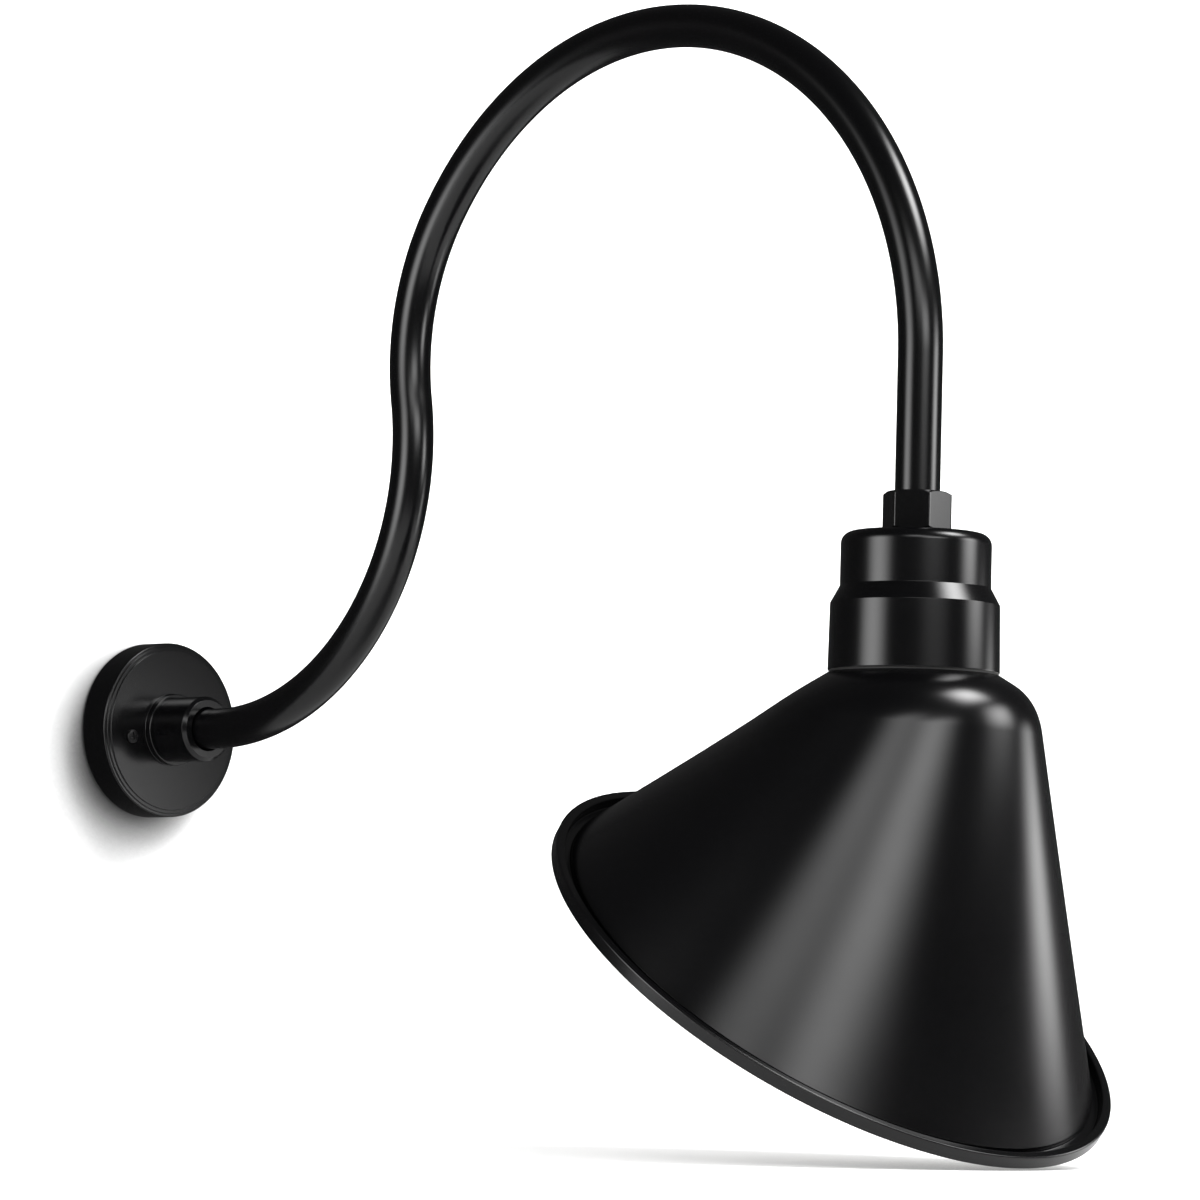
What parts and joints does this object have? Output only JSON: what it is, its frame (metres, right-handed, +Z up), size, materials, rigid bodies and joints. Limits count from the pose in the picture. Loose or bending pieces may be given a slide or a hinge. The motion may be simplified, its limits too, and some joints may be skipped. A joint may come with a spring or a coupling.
{
  "type": "gooseneck wall sconce",
  "caption": "Outdoor wall light: round backplate, arched pipe arm, stepped socket housing and an angled metal shade with a rolled rim.",
  "frame": {"origin": "centre of the backplate on the wall plane, at the middle of the two box screw holes", "axes": "+Z up, the arm reaches towards -Y, +Y into the wall, +X along the wall"},
  "size_m": [0.3664, 0.7684, 0.7054],
  "materials": {
    "black_casting": "satin black powder coat on cast aluminium",
    "black_pipe": "satin black powder coat on aluminium pipe",
    "black_shade": "satin black powder coat on spun steel, white inside",
    "black_screw": "black oxide steel",
    "zinc_steel": "zinc plated",
    "green_screw": "green dyed steel",
    "foam": "closed-cell foam",
    "rubber": "moulded",
    "porcelain": "glazed porcelain",
    "brass": "stamped",
    "black_wire": "extruded insulation",
    "white_wire": "extruded insulation",
    "connector": "moulded",
    "nickel_cap": "stamped",
    "black_glass": "fused glass",
    "solder": "soldered",
    "frosted_glass": "frosted inside"
  },
  "bodies": {
    "wall_plate": {"wall_gasket": "foam", "box_strap": "zinc_steel", "plate_strap": "zinc_steel", "strap_rivet": "brass", "ground_screw": "green_screw", "backplate": "black_casting", "plate_screws": "black_screw", "hub_collar": "black_casting", "hub_set_screw": "black_screw"},
    "arm": {"gooseneck_arm": "black_pipe", "live_lead": "black_wire", "neutral_lead": "white_wire", "wire_connectors": "connector"},
    "nut_seat": {"nut_washer": "rubber"},
    "lock_nut": {"hex_lock_nut": "black_casting"},
    "head": {"neck_housing": "black_casting", "holder_plate": "zinc_steel", "holder_plate_screws": "zinc_steel", "lampholder": "porcelain", "lampholder_screws": "zinc_steel", "terminals": "brass", "screw_shell": "brass", "centre_contact": "brass", "shade": "black_shade", "shade_gasket": "rubber", "shade_ring": "zinc_steel", "shade_screws": "zinc_steel"},
    "bulb_tip": {"bulb_contact": "solder"},
    "bulb": {"bulb_insulator": "black_glass", "bulb_cap": "nickel_cap", "bulb_globe": "frosted_glass"}
  },
  "joints": [
    {"name": "arm_level", "type": "hinge", "parent": "wall_plate", "child": "arm", "pos_m": [0, -0.04, 0], "axis": [0, -1, 0], "range_deg": [-15, 15]},
    {"name": "head_swivel", "type": "hinge", "parent": "arm", "child": "head", "pos_m": [0, -0.67395, 0.1], "axis": [0, 0, 1], "range_deg": [-175, 175]},
    {"name": "nut_travel", "type": "slide", "parent": "arm", "child": "nut_seat", "axis": [0, 0, 1], "range_m": [0, 0.00363]},
    {"name": "nut_turn", "type": "hinge", "parent": "nut_seat", "child": "lock_nut", "pos_m": [0, -0.67395, 0.11], "axis": [0, 0, 1], "range_deg": [0, 720]},
    {"name": "bulb_travel", "type": "slide", "parent": "head", "child": "bulb_tip", "axis": [0, 0, -1], "range_m": [0, 0.0218]},
    {"name": "bulb_turn", "type": "hinge", "parent": "bulb_tip", "child": "bulb", "pos_m": [0, -0.67395, 0.05], "axis": [0, 0, -1], "range_deg": [0, 2160]}
  ],
  "couplings": [
    {"joint": "nut_travel", "follows": "nut_turn", "m_per_rad": 0.00028876},
    {"joint": "bulb_travel", "follows": "bulb_turn", "m_per_rad": 0.00057757}
  ]
}
